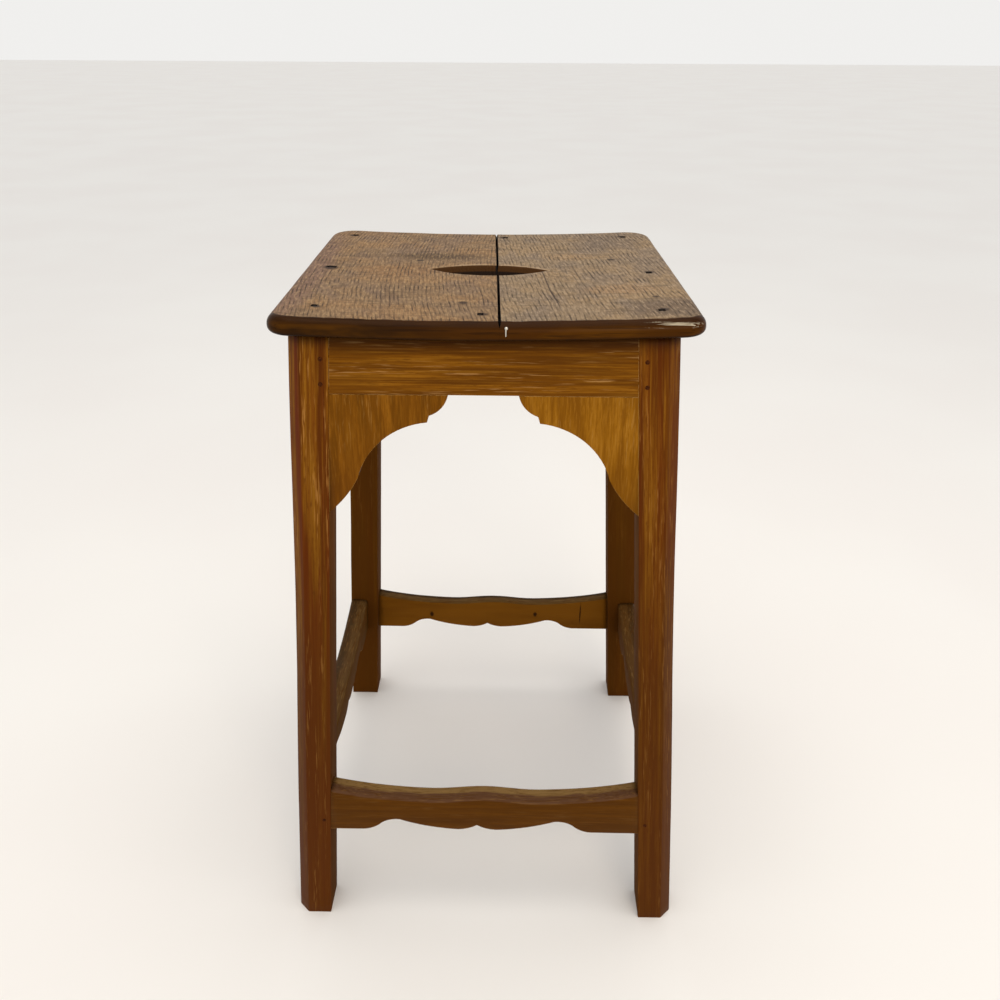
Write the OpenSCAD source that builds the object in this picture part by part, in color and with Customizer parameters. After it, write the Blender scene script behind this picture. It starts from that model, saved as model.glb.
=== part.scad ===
// Joined wooden stool: two-board dished seat with a hand slot, four splayed square legs,
// aprons with scrolled corner brackets, and scalloped stretchers. Millimetres, +Z up.
// The origin is on the floor under the middle of the frame, and the front faces -Y.

/* [Seat] */
// Width of the seat, side to side
seat_w = 381; // [366:1:400]
// Depth of the seat, front to back
seat_d = 386; // [370:1:400]
// Thickness of the seat boards
seat_t = 17; // [15:0.5:20]
// How far the middle of the seat lies below its sides
seat_dish = 5; // [2:0.5:6]
// How far the seat stands out in front of the legs
seat_front = 17.5; // [12:0.5:20]
// Turn of the seat on its frame, in degrees to the left seen from above
seat_turn = 0.9; // [-2:0.1:2]
// Plan radius of the two front corners
front_corner_r = 20; // [8:1:24]
// Plan radius of the two back corners
back_corner_r = 32; // [16:1:50]
// Distance of the joint between the boards to the right of the seat's centreline
joint_x = 9; // [-12:0.5:12]
// Turn of the joint on the seat, in degrees to the left seen from above
joint_turn = 0.7; // [-1:0.1:1]
// Open gap in the joint between the boards
joint_gap = 2.2; // [1:0.1:3]
// Length of the hand slot
slot_l = 121; // [100:1:130]
// Width of the hand slot at its middle
slot_w = 45; // [40:1:56]
// Distance of the hand slot behind the seat's centre
slot_back = 2; // [-5:1:8]
// Turn of the hand slot on the seat, in degrees to the left seen from above
slot_turn = -1.9; // [-3:0.1:1]

/* [Frame] */
// Height of the frame at the seat's sides
frame_h = 690; // [680:1:700]
// Width and depth over the legs at the top
top_w = 347; // [341:1:352]
// Width and depth over the legs at the floor
foot_w = 437; // [430:1:444]
// Side of a leg's square section
leg_t = 38.5; // [37:0.5:40]
// Width of the chamfer along a leg's outer corner
leg_chamfer = 12; // [6:1:14]

/* [Aprons and brackets] */
// Height of the aprons' lower edge, up the slope
apron_lo = 633.5; // [630:0.5:636]
// Thickness of the aprons
apron_t = 20; // [19:0.5:22]
// Reach of a corner bracket along its apron
bracket_l = 107; // [103:0.5:112]
// Thickness of the corner brackets
bracket_t = 18; // [17:0.5:19]

/* [Stretchers] */
// Height of the stretchers' lower edge, up the slope
stretcher_lo = 127.5; // [115:0.5:140]
// Height of a stretcher at its ends
stretcher_h = 56; // [50:1:58]
// Thickness of the stretchers
stretcher_t = 24; // [22:0.5:26]
// How much thinner the back stretcher is, set in from the legs' outer faces
back_stretcher_inset = 7; // [0:0.5:8]
// How much deeper the back stretcher reaches down
back_stretcher_drop = 4; // [0:0.5:6]
// How far the top edge is hollowed below its ends
stretcher_hollow = 14.5; // [10:0.5:17]
// Height of the swell in the middle of the top edge
stretcher_swell = 4.5; // [0:0.5:6]
// Shift of the scallops to the left, on the front and back stretchers
scallop_shift = 8; // [0:1:10]

/* [Joinery] */
// Length of the tenons
tenon_l = 18; // [16:0.5:18]
// Thickness of the tenons
tenon_t = 8; // [7:0.5:8]
// Depth of the tenons behind the outer faces
tenon_in = 8; // [8:0.5:9]
// Radius of the pegs
peg_r = 2; // [1.8:0.1:3.2]
// Length of the pegs
peg_l = 24; // [20:1:24]
// Distance of the pegs from a leg's inner edge
peg_in = 7.5; // [7:0.1:8]

/* [Nails] */
// Radius of the seat nails' heads
head_r = 3.2; // [2.5:0.1:3.5]
// Thickness of the seat nails' heads
head_t = 1.5; // [1:0.1:2]
// Radius of the seat nails' shanks
shank_r = 1.4; // [1.2:0.1:1.5]
// Length of the seat nails
nail_l = 34; // [28:1:34]
// How deep the seat nails are punched below the surface
nail_sunk = 0.4; // [0.2:0.1:1]
// Radius of the brads that hold the brackets
brad_r = 1; // [0.8:0.1:1.2]

/* [Hidden] */

SEAT_WOOD = "#7a6248";
LEG_WOOD = "#7b4420";
APRON_WOOD = "#9a6224";
STRETCHER_WOOD = "#845022";
PEG_WOOD = "#4a2c16";
NAIL_IRON = "#2e2620";
BRIGHT_STEEL = "#b9b4aa";

// The four sides and the corners to their left, counted from the front and turning right
FRONT = 0;
RIGHT = 1;
BACK = 2;
LEFT = 3;

// The frame is a square pyramid's foot: each outer face leans in by the splay
splay = atan((foot_w - top_w) / 2 / frame_h);
corner_splay = atan(sqrt(2) * tan(splay));
face_top = frame_h / cos(splay);

// The seat is a slice of a wide tube lying front to back; the frame is hollowed to fit it
bed_r = (pow(seat_w / 2, 2) + pow(seat_dish, 2)) / (2 * seat_dish);
bed_z = frame_h - seat_dish + bed_r;
seat_y = seat_d / 2 - top_w / 2 - seat_front;

// Half the hand slot's lens lies on a circle of this radius
slot_r = (pow(slot_l / 2, 2) + pow(slot_w / 2, 2)) / slot_w;

// Tenon and peg heights, up the slope
apron_tenon = [apron_lo + 3, face_top - 10];
apron_pegs = [apron_lo + 9, apron_lo + 32];
stretcher_tenon = [stretcher_lo + 5, stretcher_lo + 41];
stretcher_peg = stretcher_lo + 12;

// Seat nails: each one goes down into an apron or the top of a leg
seat_nail_places = [
    [-162, 157], [-162, -4], [-151, -149], [-3, -161],
    [15, 167], [154, 160], [162, -18], [156, -155]
];

// Each bracket has one brad up into the apron and one across into the leg
brad_l = 30;
brad_punch = 3;
apron_brad_at = [52, 36];
leg_brad_at = [11, 97];

far = 60;
big_fn = 1440;
fn = 64;

// Points of the arc from a to c that passes through b, without a
function circumcentre(a, b, c) =
    let (
        d = 2 * (a.x * (b.y - c.y) + b.x * (c.y - a.y) + c.x * (a.y - b.y)),
        aa = a * a,
        bb = b * b,
        cc = c * c
    )
    [
        (aa * (b.y - c.y) + bb * (c.y - a.y) + cc * (a.y - b.y)) / d,
        (aa * (c.x - b.x) + bb * (a.x - c.x) + cc * (b.x - a.x)) / d
    ];
function arc_through(a, b, c, steps) =
    let (
        m = circumcentre(a, b, c),
        r = norm(a - m),
        start = atan2(a.y - m.y, a.x - m.x),
        end = atan2(c.y - m.y, c.x - m.x),
        turn = end - start,
        sweep = turn > 180 ? turn - 360 : turn < -180 ? turn + 360 : turn
    )
    [for (i = [1:steps]) m + r * [cos(start + sweep * i / steps), sin(start + sweep * i / steps)]];
function mirrored(points) = [for (i = [len(points) - 1:-1:0]) [-points[i].x, points[i].y]];

// Half the clear width between two legs, at a height up the slope
function inner_half(up) = foot_w / 2 - leg_t / cos(splay) - up * sin(splay);

// Height of the seat's upper surface at a distance from the middle
function seat_top_z(x) = bed_z - sqrt(pow(bed_r - seat_t, 2) - x * x);

// Lays a drawing on the outer face of a side, with its X to the right and its Y up the slope
module on_face(side) {
    rotate([0, 0, 90 * side])
        translate([0, -foot_w / 2, 0])
        rotate([90 - splay, 0, 0])
        children();
}

// A board cut to a drawing, with its outer side on the outer face of a side
module face_board(side, thick) {
    on_face(side)
        translate([0, 0, -thick])
        linear_extrude(thick)
        children();
}

// All that lies between the legs of a side, its ends on the legs' inner faces
module between_legs(side) {
    rotate([0, 0, 90 * side])
        intersection_for (s = [-1, 1])
        translate([s * (foot_w / 2 - leg_t / cos(splay)), 0, 0])
        rotate([0, -s * splay, 0])
        translate([s > 0 ? -foot_w : 0, -foot_w, -far])
        cube([foot_w, 2 * foot_w, frame_h + 2 * far]);
}

// The round bed that the seat lies in
module seat_bed(r) {
    translate([0, foot_w, bed_z])
        rotate([90, 0, 0])
        cylinder(r = r, h = 2 * foot_w, $fn = big_fn);
}

// ---- Joinery shared by the pieces that it joins

module tenon(side, s, heights) {
    shoulder = inner_half(heights[1]) - 4;
    tip = inner_half((heights[0] + heights[1]) / 2) + tenon_l;
    on_face(side)
        translate([s > 0 ? shoulder : -tip, heights[0], -tenon_in - tenon_t])
        cube([tip - shoulder, heights[1] - heights[0], tenon_t]);
}

module peg(side, s, up) {
    on_face(side)
        translate([s * (inner_half(up) + peg_in), up, -peg_l])
        cylinder(r = peg_r, h = peg_l, $fn = fn);
}

// The tenons at one end of a side, and the pegs through them
module end_tenons(side, s) {
    tenon(side, s, apron_tenon);
    tenon(side, s, stretcher_tenon);
}

module end_pegs(side, s) {
    for (up = apron_pegs)
        peg(side, s, up);
    peg(side, s, stretcher_peg);
}

module seat_nail(place, over = 0) {
    top = seat_top_z(place.x) - nail_sunk;
    translate([place.x, place.y, top - head_t])
        cylinder(r = head_r, h = head_t + over, $fn = fn);
    translate([place.x, place.y, top - nail_l])
        cylinder(r = shank_r, h = nail_l, $fn = fn);
}

module seat_nail_holes() {
    for (place = seat_nail_places)
        seat_nail(place, 5);
}

// A brad up through a bracket into its apron, or its hole, which runs out of the bracket's edge
module apron_brad(side, s, hole = 0) {
    x = s * (inner_half(apron_lo) - apron_brad_at.x);
    on_face(side)
        translate([x, apron_lo - apron_brad_at.y + brad_punch - hole, -bracket_t / 2])
        rotate([-90, 0, 0])
        cylinder(r = brad_r, h = brad_l + hole, $fn = fn);
}

// A brad across through a bracket's toe into its leg, or its hole
module leg_brad(side, s, hole = 0) {
    up = apron_lo - leg_brad_at.y;
    near = inner_half(apron_lo) - leg_brad_at.x + brad_punch;
    on_face(side)
        translate([s * (near - hole), up, -bracket_t / 2])
        rotate([0, s * 90, 0])
        cylinder(r = brad_r, h = brad_l - 10 + hole, $fn = fn);
}

// ---- Legs

// A leg's slab: all that is within a leg's thickness of a side's outer face
module leg_slab(side) {
    face_board(side, leg_t)
        translate([-foot_w, -far])
        square([2 * foot_w, face_top + 2 * far]);
}

module leg(corner) {
    left_side = (corner + 3) % 4;
    color(LEG_WOOD)
        difference() {
            intersection() {
                leg_slab(corner);
                leg_slab(left_side);
                rotate([0, 0, 90 * corner])
                    translate([-foot_w, -foot_w, 0])
                    cube([foot_w, foot_w, frame_h]);
            }
            rotate([0, 0, 90 * corner + 225])
                translate([(foot_w - leg_chamfer) / sqrt(2), 0, 0])
                rotate([0, -corner_splay, 0])
                translate([0, -far, -far])
                cube([far, 2 * far, frame_h + 3 * far]);
            seat_bed(bed_r);
            end_tenons(corner, -1);
            end_tenons(left_side, 1);
            end_pegs(corner, -1);
            end_pegs(left_side, 1);
            seat_nail_holes();
            leg_brad(corner, -1);
            leg_brad(left_side, 1);
        }
}

module leg_pegs(corner) {
    color(PEG_WOOD) {
        end_pegs(corner, -1);
        end_pegs((corner + 3) % 4, 1);
    }
}

// ---- Aprons and their corner brackets

module apron(side) {
    color(APRON_WOOD)
        difference() {
            union() {
                intersection() {
                    face_board(side, apron_t)
                        translate([-top_w, apron_lo])
                        square([2 * top_w, face_top + 10 - apron_lo]);
                    between_legs(side);
                }
                for (s = [-1, 1])
                    tenon(side, s, apron_tenon);
            }
            seat_bed(bed_r);
            for (s = [-1, 1]) {
                for (up = apron_pegs)
                    peg(side, s, up);
                apron_brad(side, s);
            }
            seat_nail_holes();
        }
}

// Scrolled outline of a right-hand bracket. X is the distance from the leg's face at the apron's
// lower edge, negative towards the middle, and Y is the height below that edge.
bracket_edge = concat(
    [[-bracket_l, 0]],
    arc_through([-bracket_l, 0], [-101, -12], [-89.5, -19.5], 8),
    [[-87.5, -26]],
    arc_through([-87.5, -26], [-44, -45], [-21.5, -81], 16),
    arc_through([-21.5, -81], [-9.5, -99.5], [8, -117], 8)
);

module bracket(side, s) {
    color(APRON_WOOD)
        difference() {
            intersection() {
                face_board(side, bracket_t)
                    mirror([s > 0 ? 0 : 1, 0])
                    translate([inner_half(apron_lo), apron_lo])
                    polygon(concat(bracket_edge, [[20, -117], [20, 0]]));
                between_legs(side);
            }
            apron_brad(side, s, 20);
            leg_brad(side, s, 20);
        }
}

module bracket_brads() {
    color(NAIL_IRON)
        for (side = [FRONT:LEFT])
            for (s = [-1, 1]) {
                apron_brad(side, s);
                leg_brad(side, s);
            }
}

// ---- Stretchers

// Height of the top edge above the lower one: hollowed towards the middle, with a slight swell
function stretcher_top(x) =
    stretcher_h - stretcher_hollow * (1 - pow(min(1, abs(x) / 170), 3))
    + stretcher_swell * pow(cos(90 * min(1, abs(x) / 60)), 2);

// The lower edge's right half, from the small cusp in the middle to the flat at the end
scallop_edge = concat(
    [[0, 8]],
    arc_through([0, 8], [10, 3.5], [26, 2], 5),
    arc_through([26, 2], [58, 6.5], [86, 14.5], 8),
    arc_through([86, 14.5], [96, 14], [106, 9.5], 5),
    arc_through([106, 9.5], [115, 3], [127, 0], 6)
);

module stretcher(side, shift) {
    reach = 190;
    step = 10;
    inset = side == BACK ? back_stretcher_inset : 0;
    low = side == BACK ? -back_stretcher_drop : 0;
    scallops = [for (p = concat(mirrored(scallop_edge), scallop_edge)) p + [shift, low]];
    top_edge = [for (x = [reach:-step:-reach]) [x, stretcher_top(x)]];
    color(STRETCHER_WOOD)
        difference() {
            union() {
                intersection() {
                    on_face(side)
                        translate([0, stretcher_lo, -stretcher_t])
                        linear_extrude(stretcher_t - inset)
                        polygon(concat([[-reach, low]], scallops, [[reach, low]], top_edge));
                    between_legs(side);
                }
                for (s = [-1, 1])
                    tenon(side, s, stretcher_tenon);
            }
            for (s = [-1, 1])
                peg(side, s, stretcher_peg);
        }
}

// ---- Seat

// The seat's own frame: turned a little on the stool's frame, about its own centre
module on_seat() {
    translate([0, seat_y, 0])
        rotate([0, 0, seat_turn])
        children();
}

module seat_outline() {
    x = seat_w / 2;
    y = seat_d / 2;
    f = front_corner_r;
    b = back_corner_r;
    polygon([
        [-x + f, -y], [x - f, -y], [x, -y + f], [x, y - b],
        [x - b, y], [-x + b, y], [-x, y - b], [-x, -y + f]
    ]);
    for (s = [-1, 1]) {
        translate([s * (x - f), f - y])
            circle(r = f, $fn = fn);
        translate([s * (x - b), y - b])
            circle(r = b, $fn = fn);
    }
}

// Pointed lens across the joint
module slot_outline() {
    translate([0, slot_back])
        rotate(slot_turn)
        intersection_for (s = [-1, 1])
        translate([0, s * (slot_r - slot_w / 2)])
        circle(r = slot_r, $fn = 2 * fn);
}

// One seat board: s is -1 for the left board and 1 for the right one
module seat_board(s) {
    edge = joint_x + s * joint_gap / 2;
    color(SEAT_WOOD)
        difference() {
            intersection() {
                on_seat()
                    translate([0, 0, frame_h - far])
                    linear_extrude(2 * far)
                    difference() {
                        intersection() {
                            seat_outline();
                            rotate(joint_turn)
                                translate([s > 0 ? edge : edge - seat_w, -seat_d])
                                square([seat_w, 2 * seat_d]);
                        }
                        slot_outline();
                    }
                seat_bed(bed_r);
            }
            seat_bed(bed_r - seat_t);
            seat_nail_holes();
            edge_brad_body(5);
        }
}

module seat_nails() {
    color(NAIL_IRON)
        for (place = seat_nail_places)
            seat_nail(place);
}

// A bright brad in the seat's front edge, just right of the joint
module edge_brad_body(over = 0) {
    brad_x = joint_x + 8;
    on_seat()
        translate([brad_x, -seat_d / 2, seat_top_z(brad_x) - 5]) {
            translate([0, 1, 0])
                rotate([90, 0, 0])
                cylinder(r = 1.8, h = 1 + over, $fn = fn);
            translate([0, 21, 0])
                rotate([90, 0, 0])
                cylinder(r = 0.8, h = 20.5, $fn = fn);
        }
}

module edge_brad() {
    color(BRIGHT_STEEL)
        edge_brad_body();
}

seat_board(-1);  // seat_board_left
seat_board(1);  // seat_board_right
leg(FRONT);  // leg_front_left
leg(RIGHT);  // leg_front_right
leg(BACK);  // leg_back_right
leg(LEFT);  // leg_back_left
apron(FRONT);  // apron_front
apron(RIGHT);  // apron_right
apron(BACK);  // apron_back
apron(LEFT);  // apron_left
bracket(FRONT, -1);  // bracket_front_left
bracket(FRONT, 1);  // bracket_front_right
bracket(RIGHT, -1);  // bracket_right_front
bracket(RIGHT, 1);  // bracket_right_back
bracket(BACK, -1);  // bracket_back_right
bracket(BACK, 1);  // bracket_back_left
bracket(LEFT, -1);  // bracket_left_back
bracket(LEFT, 1);  // bracket_left_front
stretcher(FRONT, -scallop_shift);  // stretcher_front
stretcher(RIGHT, 0);  // stretcher_right
stretcher(BACK, scallop_shift);  // stretcher_back
stretcher(LEFT, 0);  // stretcher_left
leg_pegs(FRONT);  // pegs_front_left
leg_pegs(RIGHT);  // pegs_front_right
leg_pegs(BACK);  // pegs_back_right
leg_pegs(LEFT);  // pegs_back_left
seat_nails();
edge_brad();
bracket_brads();
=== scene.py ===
# Tall wooden milking stool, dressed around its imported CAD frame.
# Every piece takes its outline and its place from the CAD node that it stands for. What is added
# here is what years of use do to it: rounded arrises, hollows, a bull-nosed edge, grain and varnish.
import math
import random

import bmesh
import bpy
from mathutils import Matrix, Vector, noise


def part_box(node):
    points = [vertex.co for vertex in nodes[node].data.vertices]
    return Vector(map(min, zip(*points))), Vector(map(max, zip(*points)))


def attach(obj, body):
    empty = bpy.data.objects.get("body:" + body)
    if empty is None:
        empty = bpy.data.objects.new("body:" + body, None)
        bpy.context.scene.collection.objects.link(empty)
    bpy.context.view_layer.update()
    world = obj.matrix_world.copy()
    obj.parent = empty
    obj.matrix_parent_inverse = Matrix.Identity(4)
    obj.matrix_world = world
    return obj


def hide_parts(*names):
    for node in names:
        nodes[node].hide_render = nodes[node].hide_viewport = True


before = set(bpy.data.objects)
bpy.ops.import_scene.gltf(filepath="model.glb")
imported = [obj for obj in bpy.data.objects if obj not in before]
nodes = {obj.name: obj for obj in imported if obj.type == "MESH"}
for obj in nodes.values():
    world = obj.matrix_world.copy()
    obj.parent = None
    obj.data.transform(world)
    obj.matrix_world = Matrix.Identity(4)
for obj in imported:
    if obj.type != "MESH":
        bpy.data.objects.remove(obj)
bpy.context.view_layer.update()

MM = 0.001
X_AXIS = Vector((1, 0, 0))
Y_AXIS = Vector((0, 1, 0))
Z_AXIS = Vector((0, 0, 1))
# Points nearer to each other than this are one point.
WELD = 0.01 * MM

# ---------------------------------------------------------------- sizes from the frame

SIDES = ("front", "right", "back", "left")

SEAT_THICK = 17 * MM
SEAT_DISH = 5 * MM
SEAT_HALF = 190.5 * MM
SEAT_DEEP_HALF = 193 * MM
SEAT_TURN = math.radians(0.9)
JOINT_TURN = math.radians(0.7)
APRON_THICK = 20 * MM
BRACKET_THICK = 18 * MM
STRETCHER_THICK = {"front": 24 * MM, "right": 24 * MM, "back": 17 * MM, "left": 24 * MM}
LEG_THICK = 38.5 * MM
CHAMFER = 12 * MM
TOP_HALF = 173.5 * MM

foot_half = -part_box("leg_front_left")[0].x
FRAME_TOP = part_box("seat_board_left")[1].z - SEAT_THICK
SPLAY = math.atan((foot_half - TOP_HALF) / FRAME_TOP)


def seat_sag(x):
    """How far the dished seat, and the frame under it, lie below their height at the sides."""
    return SEAT_DISH * (1 - (x / SEAT_HALF) ** 2)


def side_normal(side):
    """Outward normal of a side's sloping face: 0 front, 1 right, 2 back, 3 left."""
    flat = Vector((0, -math.cos(SPLAY), math.sin(SPLAY)))
    return Matrix.Rotation(math.radians(90 * side), 3, "Z") @ flat


# ---------------------------------------------------------------- mesh helpers

# How deep a surface is worn, and how far apart its hollows lie.
SEAT_WEAR = (0.45 * MM, 34 * MM)
LEG_WEAR = (0.3 * MM, 45 * MM)
BOARD_WEAR = (0.25 * MM, 30 * MM)
# A face leans in when its normal points towards the stool's middle by more than this.
LEANS_IN = -0.35


def cad_face(node, normal):
    """The outermost flat face of a CAD node towards a normal, as one polygon in a new bmesh."""
    bm = bmesh.new()
    bm.from_mesh(nodes[node].data)
    bmesh.ops.remove_doubles(bm, verts=bm.verts, dist=WELD)
    bm.normal_update()
    reach = max(v.co.dot(normal) for v in bm.verts)
    away = [
        f for f in bm.faces
        if f.normal.dot(normal) < 0.9995 or f.calc_center_median().dot(normal) < reach - 0.2 * MM
    ]
    bmesh.ops.delete(bm, geom=away, context="FACES")
    bmesh.ops.dissolve_faces(bm, faces=bm.faces[:], use_verts=False)
    between = [v for v in bm.verts if len(v.link_edges) == 2]
    bmesh.ops.dissolve_limit(bm, angle_limit=math.radians(0.5), verts=between, edges=bm.edges)
    return bm


def thicken(bm, normal, thick):
    """Extrudes the one face in bm away from its normal, into a closed board."""
    made = bmesh.ops.extrude_face_region(bm, geom=bm.faces[:])
    moved = [g for g in made["geom"] if isinstance(g, bmesh.types.BMVert)]
    bmesh.ops.translate(bm, verts=moved, vec=-normal * thick)
    bmesh.ops.recalc_face_normals(bm, faces=bm.faces)


def round_over(bm, edges, width, segments):
    """Rounds arrises over and returns the new faces."""
    made = bmesh.ops.bevel(
        bm, geom=edges, offset=width, offset_type="OFFSET", segments=segments,
        profile=0.5, affect="EDGES", clamp_overlap=True, material=-1,
    )
    return made["faces"]


def slice_along(bm, axis, low, high, step):
    """Cuts the whole mesh with evenly spaced planes, so that it can bend and wear."""
    count = max(1, round((high - low) / step))
    for i in range(1, count):
        cut_at(bm, axis, low + (high - low) * i / count)


def cut_at(bm, axis, at):
    """Cuts the whole mesh with the plane at a distance along an axis."""
    bmesh.ops.bisect_plane(
        bm, geom=bm.verts[:] + bm.edges[:] + bm.faces[:], dist=0.001 * MM,
        plane_co=axis * at, plane_no=axis,
    )


def wear(bm, amount, grain, seed):
    """Moves the surface in by up to amount, as hand planing and handling do. grain is how far apart
    the hollows lie; seed moves them."""
    bm.normal_update()
    shift = Vector((seed * 3.7, seed * 1.3, seed * 7.1))
    moves = []
    for v in bm.verts:
        depth = 0.5 + 0.5 * noise.noise(v.co / grain + shift)
        moves.append((v, -v.normal * amount * max(0, min(1, depth))))
    for v, move in moves:
        v.co += move


def mark(bm, name, faces):
    """Marks the corners of faces, for the materials to read as an attribute."""
    layer = bm.loops.layers.float.get(name) or bm.loops.layers.float.new(name)
    for face in faces:
        if face.is_valid:
            for loop in face.loops:
                loop[layer] = 1.0


def mark_inside(bm):
    """Marks the faces that look in towards the middle of the stool."""
    bm.normal_update()
    looks_in = [
        f for f in bm.faces
        if Vector(f.normal.xy).dot(Vector(f.calc_center_median().xy).normalized()) < LEANS_IN
    ]
    mark(bm, "inside", looks_in)


def make_piece(bm, node, material, smooth_angle=35):
    """Turns bm into an object that stands for a CAD node and rides on its body."""
    mesh = bpy.data.meshes.new(node + "_worn")
    bmesh.ops.triangulate(bm, faces=[f for f in bm.faces if len(f.verts) > 4])
    bm.to_mesh(mesh)
    bm.free()
    mesh.materials.append(material)
    mesh.set_sharp_from_angle(angle=math.radians(smooth_angle))
    mesh.polygons.foreach_set("use_smooth", [True] * len(mesh.polygons))
    piece = bpy.data.objects.new(node + "_worn", mesh)
    bpy.context.scene.collection.objects.link(piece)
    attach(piece, "root")
    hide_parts(node)
    return piece


# ---------------------------------------------------------------- materials


def linear(code):
    """A colour given as an sRGB hex value, as the shader's linear one."""
    parts = [int(code[i:i + 2], 16) / 255 for i in (1, 3, 5)]
    lit = [p / 12.92 if p <= 0.04045 else ((p + 0.055) / 1.055) ** 2.4 for p in parts]
    return (*lit, 1.0)


def add(tree, kind, inputs=None, out=0, **settings):
    """Adds a node, applies its settings, fills or links its inputs, returns one of its outputs."""
    made = tree.nodes.new(kind)
    for name, value in settings.items():
        setattr(made, name, value)
    for key, value in (inputs or {}).items():
        if isinstance(value, bpy.types.NodeSocket):
            tree.links.new(value, made.inputs[key])
        elif isinstance(value, str):
            made.inputs[key].default_value = linear(value)
        else:
            made.inputs[key].default_value = value
    return made.outputs[out] if made.outputs else None


def new_material(name):
    """An empty node material and the tree to fill."""
    material = bpy.data.materials.new(name)
    material.use_nodes = True
    material.node_tree.nodes.clear()
    return material, material.node_tree


def drawn_out(tree, place, along, width, length, detail=3.0, rough=0.55):
    """Wood figure: noise with features of a width across the grain and a length along it."""
    scale = [1 / width] * 3
    scale["XYZ".index(along)] = 1 / length
    stretched = add(tree, "ShaderNodeMapping", {"Vector": place, "Scale": scale})
    return add(
        tree, "ShaderNodeTexNoise",
        {"Vector": stretched, "Scale": 1.0, "Detail": detail, "Roughness": rough},
    )


def coat(tree, under, over, figure, low, high, most=1.0, where=1.0):
    """Lays one finish over another: none of it where a figure is low, most where the figure is high.
    where keeps it to a part of the surface."""
    share = add(
        tree, "ShaderNodeMapRange",
        {"Value": figure, "From Min": low, "From Max": high, "To Max": most},
        interpolation_type="SMOOTHSTEP",
    )
    share = add(tree, "ShaderNodeMath", {0: share, 1: where}, operation="MULTIPLY")
    return add(tree, "ShaderNodeMix", {0: share, 6: under, 7: over}, out=2, data_type="RGBA")


def stained(tree, under, over, place, centre, size, ragged, most=1.0):
    """Lays a stain or a bare patch on a finish: an ellipse with a ragged, soft rim."""
    shift = [-c / s for c, s in zip(centre, size)]
    scale = [1 / s for s in size]
    scaled = add(tree, "ShaderNodeMapping", {"Vector": place, "Location": shift, "Scale": scale})
    distance = add(tree, "ShaderNodeVectorMath", {0: scaled}, out=1, operation="LENGTH")
    uneven = add(tree, "ShaderNodeMath", {0: ragged, 1: 0.9, 2: distance}, operation="MULTIPLY_ADD")
    return coat(tree, under, over, uneven, 1.85, 1.05, most)


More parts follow.
